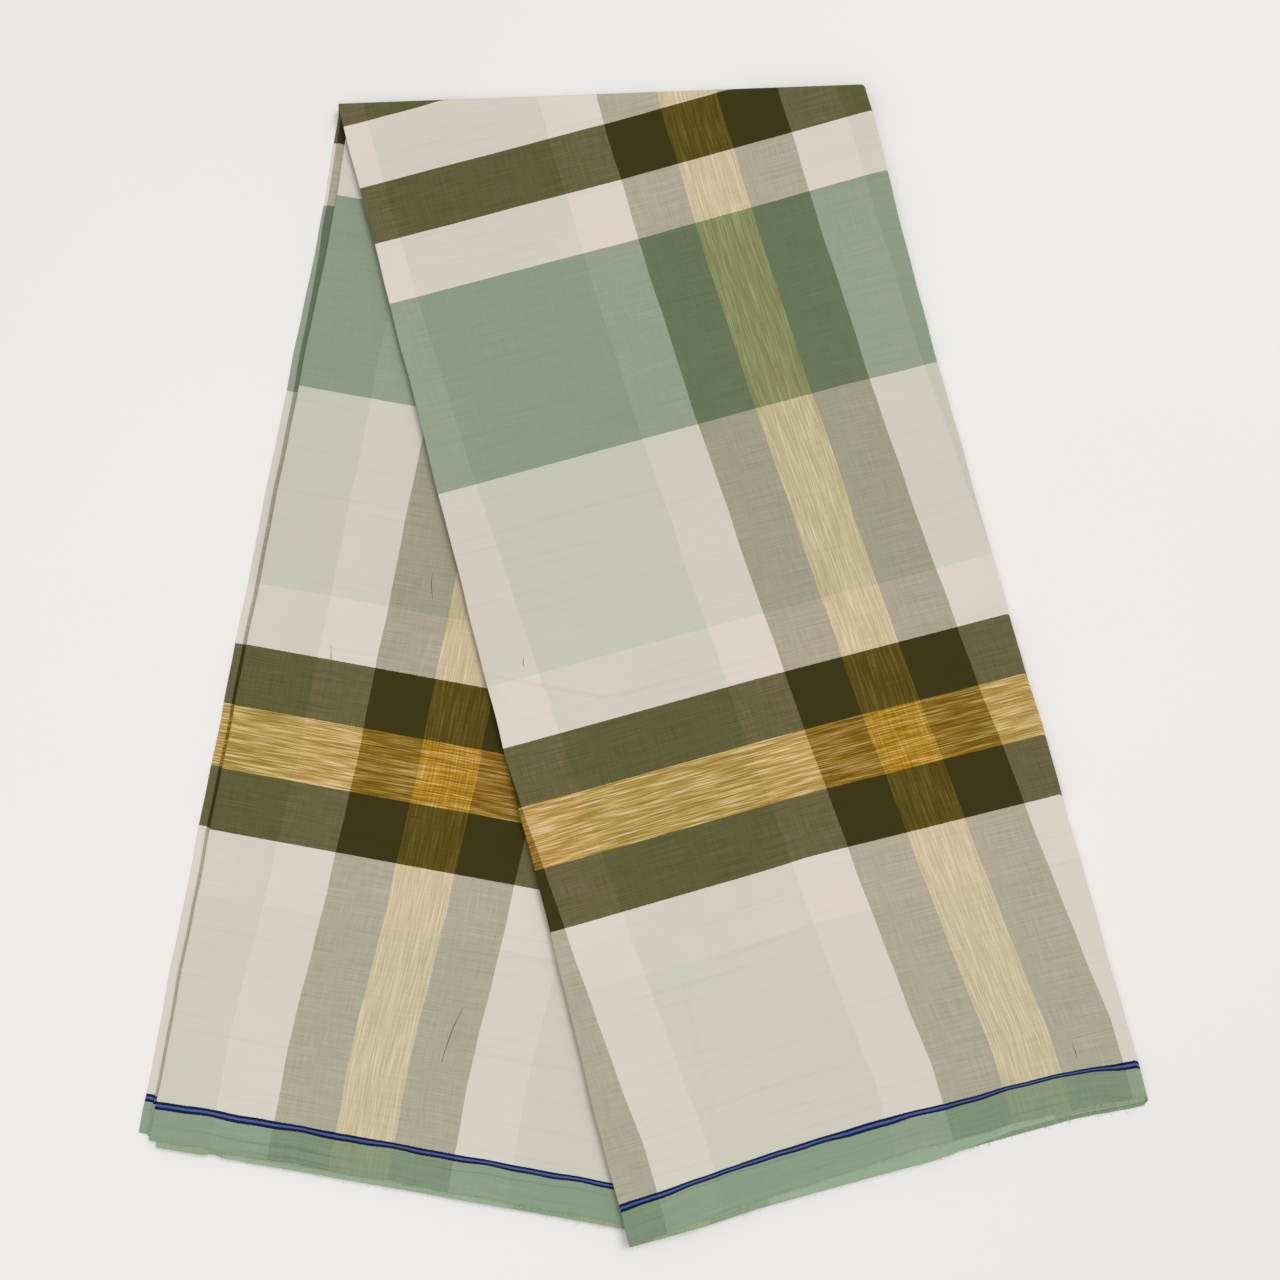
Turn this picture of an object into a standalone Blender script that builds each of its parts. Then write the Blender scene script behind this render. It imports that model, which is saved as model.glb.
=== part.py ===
"""A longyi: one wide plaid cloth, folded lengthwise into a strip of eight layers,
then turned over near its middle, so that its two halves lie as a narrow V on a flat surface.

Metres, +Z up. The origin is on the resting surface, at the centre of the cloth's outline.
+X runs to the right and +Y towards the ridge, the fold that joins the two halves.

Every piece is worked out in the folded strip's own measures. u runs across the strip, from the side
where several fold edges show to the side of the one round fold. s runs down a half from the ridge's
left end. depth runs through the strip's thickness: the sheet at depth 0 lies on the surface in the
left half, turns over the ridge and is the face of the right half.
"""

import bisect
import math

import bmesh
import bpy

# The strip and its two halves
STRIP_WIDTH = 0.289
RIDGE_LEFT = (-0.17196, 0.31039)
RIDGE_TILT = math.radians(2.2)
HALF_SPREAD = math.radians(12.5)

# Thickness, from the resting surface up
WALL = 0.001
SEAM = 0.0003
HIDDEN = 0.0018
STACK = 2 * WALL + 2 * SEAM + HIDDEN
RIDGE_RADIUS = STACK + SEAM / 2
NOSE_RADIUS = STACK / 2
NOSE_SEAM = 0.0008
RIDGE_SEAM = 0.0006

# Where the right half comes down from the left half to the surface
BRIDGE_REACH = 0.013
BRIDGE_FALL = 0.040

# Fold edges on the open side of the strip, from depth 0 inwards
LEAF_EDGES = (0.0008, 0.0026, 0.0052)
LEAF_ROUND = 0.00015
FRONT_INSET = 0.006

# Hems
FRINGE_REACH = 0.002
HIDDEN_HEM_REACH = 0.0012
BACK_HEM_INSET = 0.0006

# Divisions
SHARED_FROM = 0.010
COLUMNS = 16
RIGHT_ROWS = 20
LEFT_ROWS = 4
BORDER_ROWS = 2
TURN_STEPS = 8
NOSE_STEPS = 6

# Distances down each half to the top of the woven line and to the hem
HEM_COLUMNS = ("u", "left_line", "left_hem", "right_line", "right_hem")
HEM_TABLE = (
    (0.000, 0.5595, 0.5805, 0.6265, 0.6505),
    (0.050, 0.5585, 0.5825, 0.6220, 0.6470),
    (0.100, 0.5580, 0.5820, 0.6198, 0.6455),
    (0.160, 0.5575, 0.5810, 0.6185, 0.6450),
    (0.245, 0.5570, 0.5800, 0.6185, 0.6448),
    (0.289, 0.5570, 0.5800, 0.6230, 0.6480),
)

# How far each side edge wanders from a straight one
EDGE_COLUMNS = ("s", "left_outer", "right_inner", "right_outer")
EDGE_TABLE = (
    (0.000, 0.0000, 0.0000, -0.0005),
    (0.060, 0.0018, 0.0008, -0.0005),
    (0.200, 0.0020, 0.0009, -0.0015),
    (0.350, 0.0020, 0.0008, -0.0010),
    (0.470, 0.0020, -0.0001, 0.0002),
    (0.560, 0.0024, -0.0015, 0.0006),
    (0.600, 0.0034, -0.0020, 0.0008),
    (0.651, 0.0034, -0.0022, 0.0008),
)

CLOTH = "longyi_cloth"
PIECE_COLOURS = {
    "left_half_front": (0.66, 0.66, 0.58),
    "left_half_back": (0.60, 0.62, 0.55),
    "right_half_front": (0.70, 0.70, 0.62),
    "right_half_back": (0.60, 0.62, 0.55),
    "ridge_fold": (0.20, 0.20, 0.10),
    "hidden_layers": (0.62, 0.66, 0.58),
    "left_hem_border": (0.27, 0.42, 0.30),
    "right_hem_border": (0.27, 0.42, 0.30),
    "left_hem_fringe": (0.40, 0.52, 0.38),
    "right_hem_fringe": (0.40, 0.52, 0.38),
}
CLOTH_ROUGHNESS = 0.8


def clear_scene():
    for old in list(bpy.data.objects):
        bpy.data.objects.remove(old, do_unlink=True)


def smooth(share):
    share = min(max(share, 0.0), 1.0)
    return share * share * (3 - 2 * share)


def read_table(table, columns, name, at):
    """The named column's value at a place in the first column, eased between rows."""
    places = [row[0] for row in table]
    column = columns.index(name)
    above = min(max(bisect.bisect_right(places, at), 1), len(table) - 1)
    low, high = table[above - 1], table[above]
    share = smooth((at - low[0]) / (high[0] - low[0]))
    return low[column] + share * (high[column] - low[column])


def directions(half):
    """Unit vectors across and down a half of the strip."""
    if half == "right":
        angle = RIDGE_TILT + HALF_SPREAD
        return (math.cos(angle), math.sin(angle)), (math.sin(angle), -math.cos(angle))
    angle = HALF_SPREAD - RIDGE_TILT
    return (math.cos(angle), -math.sin(angle)), (-math.sin(angle), -math.cos(angle))


def lift_at(x, y):
    """1 where the right half lies on the left half, falling to 0 where it lies on the surface."""
    across, _ = directions("left")
    beyond = (x - RIDGE_LEFT[0]) * across[0] + (y - RIDGE_LEFT[1]) * across[1] - STRIP_WIDTH
    return 1 - smooth((beyond - BRIDGE_REACH) / BRIDGE_FALL)


def half_point(half, u, s, depth):
    """A point of a half, from its place in the strip."""
    inner = "left_outer" if half == "left" else "right_inner"
    share = u / STRIP_WIDTH
    u += (1 - share) * read_table(EDGE_TABLE, EDGE_COLUMNS, inner, s)
    if half == "right":
        u += share * read_table(EDGE_TABLE, EDGE_COLUMNS, "right_outer", s)
    across, down = directions(half)
    x = RIDGE_LEFT[0] + u * across[0] + s * down[0]
    y = RIDGE_LEFT[1] + u * across[1] + s * down[1]
    if half == "left":
        return (x, y, depth)
    return (x, y, STACK - depth + lift_at(x, y) * (STACK + SEAM))


def fold_start(half, u):
    """Where a half leaves the ridge and lies flat."""
    slope = math.tan(HALF_SPREAD) if half == "right" else -math.tan(HALF_SPREAD)
    return u * slope + RIDGE_RADIUS / math.cos(HALF_SPREAD)


def row_place(half, u, row, end_shift=0.0):
    """Distance down a half at a row: 0 at the ridge, 1 at the woven line and 2 at the hem."""
    line = read_table(HEM_TABLE, HEM_COLUMNS, half + "_line", u)
    if row <= 1:
        start = fold_start(half, u)
        return start + row * (line - start) + end_shift
    hem = read_table(HEM_TABLE, HEM_COLUMNS, half + "_hem", u)
    return line + (row - 1) * (hem - line) + end_shift


def turn_point(u, angle, depth):
    """A point on the ridge, from -90 degrees under it to +90 degrees over it."""
    radius = RIDGE_RADIUS - depth
    below = half_point("left", u, fold_start("left", u), depth)
    above = half_point("right", u, fold_start("right", u), depth)
    share = (math.sin(angle) + 1) / 2
    x = below[0] + share * (above[0] - below[0])
    y = below[1] + share * (above[1] - below[1])
    out = radius * math.cos(angle)
    x -= math.sin(RIDGE_TILT) * out
    y += math.cos(RIDGE_TILT) * out
    return (x, y, RIDGE_RADIUS + radius * math.sin(angle))


def station_point(station, u, depth):
    kind, place, end_shift = station
    if kind == "turn":
        return turn_point(u, place, depth)
    return half_point(kind, u, row_place(kind, u, place, end_shift), depth)


def stations(kind, first, last, count, first_shift=0.0, last_shift=0.0):
    """Evenly spaced places along the strip, the end ones moved by the gap to a neighbour."""
    made = []
    for step in range(count + 1):
        shift = first_shift if step == 0 else last_shift if step == count else 0.0
        made.append((kind, first + (last - first) * step / count, shift))
    return made


def shared_columns():
    """Places across the strip that all layers have in common."""
    last = STRIP_WIDTH - NOSE_RADIUS
    return [SHARED_FROM + (last - SHARED_FROM) * step / COLUMNS for step in range(COLUMNS + 1)]


def nose(radius, turn=math.pi):
    """The round fold's profile, from the side at depth 0 round to the other one."""
    centre = STRIP_WIDTH - NOSE_RADIUS
    steps = max(2, round(NOSE_STEPS * turn / math.pi))
    profile = []
    for step in range(1, steps + 1):
        angle = turn * step / steps
        profile.append((centre + radius * math.sin(angle), NOSE_RADIUS - radius * math.cos(angle)))
    return profile


def skin(bm, profile, rows, closed=False):
    """Vertices and triangles through the profile at each station.

    Every sheet is split along the same diagonals, so that neighbouring sheets stay a gap apart.
    """
    grid = [[bm.verts.new(station_point(row, u, depth)) for u, depth in profile] for row in rows]
    count = len(profile)
    for near, far in zip(grid, grid[1:]):
        for i in range(count if closed else count - 1):
            j = (i + 1) % count
            if profile[j][0] >= profile[i][0]:
                corners = (near[i], near[j], far[j]), (near[i], far[j], far[i])
            else:
                corners = (near[i], near[j], far[i]), (near[j], far[j], far[i])
            for triangle in corners:
                bm.faces.new(triangle)
    return grid


def add_object(name, bm, collection):
    bmesh.ops.triangulate(bm, faces=[face for face in bm.faces if len(face.verts) > 3])
    mesh = bpy.data.meshes.new(name)
    bm.to_mesh(mesh)
    bm.free()
    obj = bpy.data.objects.new(name, mesh)
    collection.objects.link(obj)
    obj.data.materials.append(cloth_material(name))
    mesh.shade_smooth()
    mesh.set_sharp_from_angle(angle=math.radians(40))
    return obj


def cloth_material(name):
    material = bpy.data.materials.new(name)
    material.use_nodes = True
    shader = material.node_tree.nodes["Principled BSDF"]
    shader.inputs["Base Color"].default_value = (*PIECE_COLOURS[name], 1.0)
    shader.inputs["Roughness"].default_value = CLOTH_ROUGHNESS
    shader.inputs["Metallic"].default_value = 0.0
    return material


def add_wall(name, profile, rows, collection, facing):
    """One sheet of cloth: an open surface through the profile at each station, thickened inwards."""
    bm = bmesh.new()
    skin(bm, profile, rows)
    if facing < 0:
        bmesh.ops.reverse_faces(bm, faces=bm.faces[:])
    obj = add_object(name, bm, collection)
    wall = obj.modifiers.new("Wall", "SOLIDIFY")
    wall.thickness = WALL
    wall.offset = -1
    wall.use_even_offset = True
    return obj


def leaf_steps():
    """The hidden layers' open side: one rounded fold edge above another, each further in."""
    leaf = HIDDEN / len(LEAF_EDGES)
    profile = []
    for number, edge in enumerate(LEAF_EDGES):
        low = WALL + SEAM + number * leaf
        profile.append((edge + LEAF_ROUND, low))
        profile.append((edge, low + leaf / 2))
    profile.append((LEAF_EDGES[-1] + LEAF_ROUND, low + leaf))
    return profile


def add_hidden_layers(collection):
    """The sheets between the two outer ones, as one solid that runs down both halves."""
    columns = shared_columns()
    low, high = WALL + SEAM, WALL + SEAM + HIDDEN
    leaves = leaf_steps()
    bend = nose(HIDDEN / 2)[:-1]
    loop = [(u, low) for u in columns] + bend
    loop += [(u, high) for u in reversed(columns)] + leaves[::-1]
    rows = stations("left", 2, 1, BORDER_ROWS, first_shift=HIDDEN_HEM_REACH)
    rows += stations("left", 1, 0, LEFT_ROWS)[1:]
    angles = [math.pi * (step / TURN_STEPS - 0.5) for step in range(1, TURN_STEPS)]
    rows += [("turn", angle, 0.0) for angle in angles]
    rows += stations("right", 0, 1, RIGHT_ROWS)
    rows += stations("right", 1, 2, BORDER_ROWS, last_shift=HIDDEN_HEM_REACH)[1:]
    bm = bmesh.new()
    grid = skin(bm, loop, rows, closed=True)
    last = len(columns) - 1
    top = len(columns) + len(bend)
    for ring in (grid[0], grid[-1]):
        for i in range(last):
            bm.faces.new((ring[i], ring[i + 1], ring[top + last - 1 - i], ring[top + last - i]))
        bm.faces.new(ring[last:top + 1])
        bm.faces.new([ring[0]] + ring[top + last:])
    bmesh.ops.recalc_face_normals(bm, faces=bm.faces[:])
    return add_object("hidden_layers", bm, collection)


def add_fringe(name, half, first_depth, collection):
    """The reach of the frayed ends beyond a hem, one sheet thick."""
    inset = FRONT_INSET if half == "left" else 0.0
    columns = [inset] + shared_columns()
    bm = bmesh.new()
    grid = []
    for shift in (SEAM, SEAM + FRINGE_REACH):
        for depth in (first_depth, first_depth + WALL):
            station = (half, 2, shift)
            grid.append([bm.verts.new(station_point(station, u, depth)) for u in columns])
    order = (0, 1, 3, 2)
    for here, there in zip(order, order[1:] + order[:1]):
        for i in range(len(columns) - 1):
            bm.faces.new((grid[here][i], grid[here][i + 1], grid[there][i + 1], grid[there][i]))
    for end in (0, -1):
        bm.faces.new([grid[corner][end] for corner in order])
    bmesh.ops.recalc_face_normals(bm, faces=bm.faces[:])
    return add_object(name, bm, collection)


def build():
    clear_scene()
    collection = bpy.data.collections.new(CLOTH)
    bpy.context.scene.collection.children.link(collection)

    columns = shared_columns()
    gap = SEAM / 2
    outer_face = [(0.0, 0.0)] + [(u, 0.0) for u in columns]
    outer_with_nose = outer_face + nose(NOSE_RADIUS)
    outer_to_seam = outer_face[:-1] + [(columns[-1] - NOSE_SEAM, 0.0)]
    inner_face = [(FRONT_INSET, STACK)] + [(u, STACK) for u in columns]
    inner_with_nose = inner_face + [(u, STACK - depth) for u, depth in nose(NOSE_RADIUS)]
    inner_to_seam = inner_face[:-1] + [(columns[-1] - NOSE_SEAM, STACK)]

    left_rows = stations("left", 0, 1, LEFT_ROWS, first_shift=RIDGE_SEAM, last_shift=-gap)
    left_border = stations("left", 1, 2, BORDER_ROWS, first_shift=gap)
    left_all = stations("left", 0, 1, LEFT_ROWS, first_shift=RIDGE_SEAM)
    left_all += stations("left", 1, 2, BORDER_ROWS, last_shift=-BACK_HEM_INSET)[1:]
    right_rows = stations("right", 0, 1, RIGHT_ROWS, first_shift=RIDGE_SEAM, last_shift=-gap)
    right_border = stations("right", 1, 2, BORDER_ROWS, first_shift=gap)
    right_all = stations("right", 0, 1, RIGHT_ROWS, first_shift=RIDGE_SEAM)
    right_all += stations("right", 1, 2, BORDER_ROWS, last_shift=-BACK_HEM_INSET)[1:]
    ridge = [("turn", math.pi * (step / TURN_STEPS - 0.5), 0.0) for step in range(TURN_STEPS + 1)]

    add_wall("left_half_back", outer_to_seam, left_all, collection, 1)
    add_wall("left_half_front", inner_with_nose, left_rows, collection, -1)
    add_wall("left_hem_border", inner_with_nose, left_border, collection, -1)
    add_wall("ridge_fold", outer_face + nose(NOSE_RADIUS, math.pi / 2), ridge, collection, -1)
    add_wall("right_half_front", outer_with_nose, right_rows, collection, -1)
    add_wall("right_hem_border", outer_with_nose, right_border, collection, -1)
    add_wall("right_half_back", inner_to_seam, right_all, collection, 1)
    add_hidden_layers(collection)
    add_fringe("left_hem_fringe", "left", STACK - WALL, collection)
    add_fringe("right_hem_fringe", "right", 0.0, collection)


build()
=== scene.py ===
import math

import bpy
import numpy as np
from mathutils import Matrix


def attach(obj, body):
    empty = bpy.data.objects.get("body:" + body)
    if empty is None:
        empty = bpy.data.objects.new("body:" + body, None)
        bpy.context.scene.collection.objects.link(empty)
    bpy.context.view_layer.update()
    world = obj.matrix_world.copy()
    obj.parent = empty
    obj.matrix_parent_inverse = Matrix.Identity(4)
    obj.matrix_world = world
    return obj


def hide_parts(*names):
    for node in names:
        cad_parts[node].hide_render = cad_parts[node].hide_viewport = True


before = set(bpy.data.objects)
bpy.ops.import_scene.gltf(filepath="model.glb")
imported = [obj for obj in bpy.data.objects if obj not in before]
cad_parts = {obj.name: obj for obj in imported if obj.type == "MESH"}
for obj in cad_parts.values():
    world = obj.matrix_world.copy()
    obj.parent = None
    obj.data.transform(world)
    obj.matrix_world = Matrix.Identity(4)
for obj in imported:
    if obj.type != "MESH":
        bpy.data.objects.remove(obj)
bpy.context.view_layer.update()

for spare in ("Cube", "Light", "Camera"):
    if spare in bpy.data.objects:
        bpy.data.objects.remove(bpy.data.objects[spare], do_unlink=True)
print("frame loaded with", len(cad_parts), "solids")

# The folded strip. u runs across it from its open side, s runs down each half from the ridge,
# and depth runs through the stack of eight sheets. Metres and degrees.
foldedStrip = {
    "width": 0.289,
    "ridgeLeft": (-0.17196, 0.31039),
    "ridgeTilt": 2.2,
    "halfSpread": 12.5,
    "stack": 0.0044,
    "ridgeRadius": 0.00455,
    "bridgeGap": 0.0003,
    "bridgeReach": 0.013,
    "bridgeFall": 0.040,
    "clothThickness": 0.00026,
    "rowStep": 0.0052,
    "rowLength": {"left": 0.56, "right": 0.60},
    "faceColumnStep": 0.0050,
    "innerColumnStep": 0.0120,
    "turnSteps": 12,
    "borderSteps": 5,
    "sharedRun": 0.012,
    "sharedStep": {1: 0.003, 4: 0.004},
    "reliefStart": 0.015,
    "normalWeight": 80,
}

# How many sheets the tube is folded into
sheetCount = 8

# How many steps a side fold takes, by its radius
foldSteps = ((0.0004, 4), (0.0012, 6), (math.inf, 10))

# Small wander of the strip's sides: height, rate along s, phase
sideWander = ((0.00022, 71, 1.3), (0.00012, 163, 0.0))

# Small wave along the hems: height, rate along u, phase
hemWave = ((0.00035, 118, 1), (0.00022, 247, 2))

# Closer rows and columns where the press creases are: from, to, spacing
closerColumns = {0: (0.0, 0.064, 0.0024), 7: (0.144, 0.165, 0.0009)}
closerRows = {"left": None, "right": (0.525, 0.577, 0.0015)}

# Fold edges: the two sheets each one joins, and how far its edge is set in from the strip's side
openFolds = {(0, 1): -0.0009, (2, 3): 0.0012, (4, 7): 0.0062, (5, 6): 0.0105}
roundFolds = {(0, 7): 0.0, (1, 6): 0.0006, (2, 5): 0.0012, (3, 4): 0.0018}

# u, then the woven line, the face sheet's hem and the longest sheet's hem of the left and right half
hemTable = (
    (0.000, 0.5595, 0.5805, 0.5838, 0.6253, 0.6478, 0.6486),
    (0.050, 0.5585, 0.5795, 0.5832, 0.6208, 0.6450, 0.6485),
    (0.100, 0.5580, 0.5790, 0.5826, 0.6198, 0.6432, 0.6480),
    (0.160, 0.5575, 0.5785, 0.5820, 0.6190, 0.6402, 0.6478),
    (0.245, 0.5570, 0.5780, 0.5812, 0.6180, 0.6404, 0.6472),
    (0.289, 0.5570, 0.5782, 0.5810, 0.6240, 0.6440, 0.6498),
)
hemColumn = {"left": 1, "right": 4}
faceSheet = {"left": 7, "right": 0}

# How much shorter than the longest each hidden sheet is: u across the strip, then the difference
hemTuck = {
    "left": {
        0: ((0.0, 0.0048),),
        1: ((0.0, 0.0049),),
        2: ((0.0, 0.0050),),
        3: ((0.0, 0.0047),),
        4: ((0.0, 0.0032),),
        5: ((0.036, 0.0030), (0.048, 0.0)),
        6: ((0.036, 0.0), (0.048, 0.0030)),
    },
    "right": {
        1: ((0.170, 0.0), (0.215, 0.0040)),
        2: ((0.0, 0.0036),),
        3: ((0.0, 0.0030),),
        4: ((0.0, 0.0026),),
        5: ((0.0, 0.0032),),
        6: ((0.0, 0.0024),),
        7: ((0.130, 0.0022), (0.175, 0.0)),
    },
}
borderWidth = 0.0212

# s, then how far the left outer, right inner and right outer edge wander
edgeTable = (
    (0.000, 0.0000, 0.0000, -0.0005),
    (0.060, 0.0022, 0.0008, -0.0005),
    (0.200, 0.0018, 0.0009, -0.0015),
    (0.350, 0.0016, 0.0008, -0.0010),
    (0.470, 0.0017, 0.0009, 0.0004),
    (0.560, 0.0020, -0.0002, 0.0006),
    (0.600, 0.0026, -0.0002, 0.0010),
    (0.651, 0.0026, 0.0003, 0.0010),
)

# On the left half the third and fourth sheets have slipped in, and the lowest four slipped down
slip = {
    "between": (1.5, 3.5),
    "inAt": (0.0, 0.070, 0.110, 0.180, 0.560),
    "in": (0.0, 0.0, 0.0016, 0.0023, 0.0030),
    "reach": 0.060,
    "downAt": (0.0, 0.050, 0.270, 0.330, 0.410, 0.560),
    "down": (0.0, 0.0063, 0.0020, 0.0013, 0.0010, 0.0),
}


def smooth(share):
    share = np.clip(share, 0.0, 1.0)
    return share * share * (3 - 2 * share)


def readTable(table, column, at):
    places = np.array([row[0] for row in table])
    values = np.array([row[column] for row in table])
    above = np.clip(np.searchsorted(places, at, side="right"), 1, len(places) - 1)
    low, high = places[above - 1], places[above]
    return values[above - 1] + smooth((at - low) / (high - low)) * (values[above] - values[above - 1])


def directions(half):
    if half == "right":
        angle = math.radians(foldedStrip["ridgeTilt"] + foldedStrip["halfSpread"])
        return (math.cos(angle), math.sin(angle)), (math.sin(angle), -math.cos(angle))
    angle = math.radians(foldedStrip["halfSpread"] - foldedStrip["ridgeTilt"])
    return (math.cos(angle), -math.sin(angle)), (-math.sin(angle), -math.cos(angle))


def liftAt(x, y):
    # 1 where the right half lies on the left one, 0 where it lies on the floor
    across, _ = directions("left")
    left, top = foldedStrip["ridgeLeft"]
    beyond = (x - left) * across[0] + (y - top) * across[1] - foldedStrip["width"]
    return 1 - smooth((beyond - foldedStrip["bridgeReach"]) / foldedStrip["bridgeFall"])


# Press creases and soft ripples: from (u, s) to (u, s), half width and height
creases = {
    "left": (
        ((0.1610, 0.4810), (0.1540, 0.5150), 0.0011, 0.00085),
        ((0.1540, 0.5150), (0.1485, 0.5460), 0.0012, 0.00060),
        ((0.0585, 0.4640), (0.0610, 0.4560), 0.0010, 0.00045),
        ((0.020, 0.120), (0.075, 0.128), 0.0030, 0.00025),
        ((0.030, 0.395), (0.034, 0.470), 0.0045, 0.00030),
        ((0.075, 0.470), (0.180, 0.520), 0.0070, 0.00035),
    ),
    "right": (
        ((0.002, 0.3325), (0.061, 0.3605), 0.0013, 0.00092),
        ((0.061, 0.3608), (0.108, 0.3606), 0.0013, 0.00090),
        ((0.108, 0.3606), (0.160, 0.3604), 0.0013, 0.00052),
        ((0.001, 0.333), (0.0113, 0.3605), 0.0013, 0.00068),
        ((0.0113, 0.3606), (0.056, 0.3610), 0.0013, 0.00042),
        ((0.055, 0.457), (0.083, 0.481), 0.0040, 0.00060),
        ((0.083, 0.481), (0.0985, 0.516), 0.0042, 0.00070),
        ((0.088, 0.497), (0.122, 0.509), 0.0022, 0.00055),
        ((0.052, 0.503), (0.084, 0.514), 0.0024, 0.00045),
        ((0.066, 0.500), (0.0635, 0.644), 0.0042, 0.00085),
        ((0.110, 0.500), (0.135, 0.545), 0.0055, 0.00060),
        ((0.0255, 0.605), (0.0385, 0.6115), 0.0014, 0.00070),
        ((0.1815, 0.612), (0.1818, 0.641), 0.0016, 0.00055),
        ((0.020, 0.130), (0.120, 0.134), 0.0060, 0.00030),
        ((0.180, 0.160), (0.262, 0.190), 0.0080, 0.00035),
        ((0.215, 0.540), (0.228, 0.618), 0.0090, 0.00040),
    ),
}
ripples = {
    "left": ((0.093, 0.4, 0.00008), (0.161, 1.9, 0.00007), (0.047, 2.6, 0.00003)),
    "right": ((0.121, 0.9, 0.00022), (0.074, 2.2, 0.00012), (0.052, 4.1, 0.00006)),
}

# How creases rise and fade unevenly along their length, and how ripples bend
reliefShape = {
    "endRamp": 3,
    "usual": 0.8,
    "swing": 0.2,
    "swingRate": 190,
    "swingShift": 900,
    "rippleHeading": 1.7,
    "rippleShift": 3,
    "rippleBend": 0.6,
    "bendRate": 31,
}


def reliefAt(half, u, s):
    raised = np.zeros(np.broadcast(u, s).shape)
    for (uFrom, sFrom), (uTo, sTo), reach, height in creases[half]:
        du, ds = uTo - uFrom, sTo - sFrom
        length = math.hypot(du, ds)
        along = ((u - uFrom) * du + (s - sFrom) * ds) / length
        off = ((u - uFrom) * ds - (s - sFrom) * du) / length
        ramp = reliefShape["endRamp"] * reach
        ends = smooth((along + reach) / ramp) * smooth((length + reach - along) / ramp)
        swing = np.sin(along * reliefShape["swingRate"] + uFrom * reliefShape["swingShift"])
        uneven = reliefShape["usual"] + reliefShape["swing"] * swing
        raised = raised + height * uneven * ends * np.exp(-((off / reach) ** 2))
    for wave, turn, height in ripples[half]:
        heading = turn * reliefShape["rippleHeading"]
        phase = (u * math.cos(heading) + s * math.sin(heading)) * 2 * math.pi / wave
        phase = phase + turn * reliefShape["rippleShift"]
        bend = np.sin(s * reliefShape["bendRate"] + turn)
        raised = raised + height * np.sin(phase + reliefShape["rippleBend"] * bend)
    return raised


def halfPoint(half, u, s, depth):
    width = foldedStrip["width"]
    share = u / width
    inner = 1 if half == "left" else 2
    moved = u + (1 - share) * readTable(edgeTable, inner, s)
    if half == "right":
        moved = moved + share * readTable(edgeTable, 3, s)
    for height, rate, phase in sideWander:
        moved = moved + height * np.sin(s * rate + phase)
    if half == "left":
        slipped = (depth > sheetDepth(slip["between"][0])) & (depth < sheetDepth(slip["between"][1]))
        moved = moved + slipped * np.interp(s, slip["inAt"], slip["in"]) * smooth(1 - u / slip["reach"])
    across, down = directions(half)
    left, top = foldedStrip["ridgeLeft"]
    x = left + moved * across[0] + s * down[0]
    y = top + moved * across[1] + s * down[1]
    stack = foldedStrip["stack"]
    flatStart = smooth((s - foldStart(half, u)) / foldedStrip["reliefStart"])
    raised = reliefAt(half, u, s) * flatStart
    if half == "left":
        return x, y, depth + raised * depth / stack
    onLeft = liftAt(x, y) * (stack + foldedStrip["bridgeGap"])
    return x, y, stack - depth + onLeft + raised * (1 - depth / stack)


def foldStart(half, u):
    slope = math.tan(math.radians(foldedStrip["halfSpread"]))
    start = foldedStrip["ridgeRadius"] / math.cos(math.radians(foldedStrip["halfSpread"]))
    return start + u * (slope if half == "right" else -slope)


def turnPoint(u, angle, depth):
    radius = foldedStrip["ridgeRadius"] - depth
    tilt = math.radians(foldedStrip["ridgeTilt"])
    xBelow, yBelow, _ = halfPoint("left", u, foldStart("left", u), depth)
    xAbove, yAbove, _ = halfPoint("right", u, foldStart("right", u), depth)
    share = (math.sin(angle) + 1) / 2
    out = radius * math.cos(angle)
    x = xBelow + share * (xAbove - xBelow) - math.sin(tilt) * out
    y = yBelow + share * (yAbove - yBelow) + math.cos(tilt) * out
    return x, y, foldedStrip["ridgeRadius"] + radius * math.sin(angle)


# Where the sheets run through the stack
def sheetDepth(number):
    thickness = foldedStrip["clothThickness"]
    return thickness / 2 + (foldedStrip["stack"] - thickness) * number / (sheetCount - 1)


def foldOf(side, number):
    folds = openFolds if side == "open" else roundFolds
    for pair, inset in folds.items():
        if number in pair:
            other = pair[0] if number == pair[1] else pair[1]
            radius = abs(sheetDepth(pair[1]) - sheetDepth(pair[0])) / 2
            return other, inset, radius
    raise ValueError(number)


def flatEnd(side, number):
    _, inset, radius = foldOf(side, number)
    return inset + radius if side == "open" else foldedStrip["width"] - inset - radius


def spacedPlaces(start, end, step, closer=None):
    # even places from start to end, closer together inside one stretch
    low, high = min(start, end), max(start, end)
    stops = [low, high]
    if closer:
        stops = sorted({low, min(max(closer[0], low), high), min(max(closer[1], low), high), high})
    made = [low]
    for first, last in zip(stops, stops[1:]):
        inside = closer and first >= closer[0] - 1e-9 and last <= closer[1] + 1e-9
        count = max(1, round((last - first) / (closer[2] if inside else step)))
        made += list(np.linspace(first, last, count + 1)[1:])
    return made if end > start else made[::-1]


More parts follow.
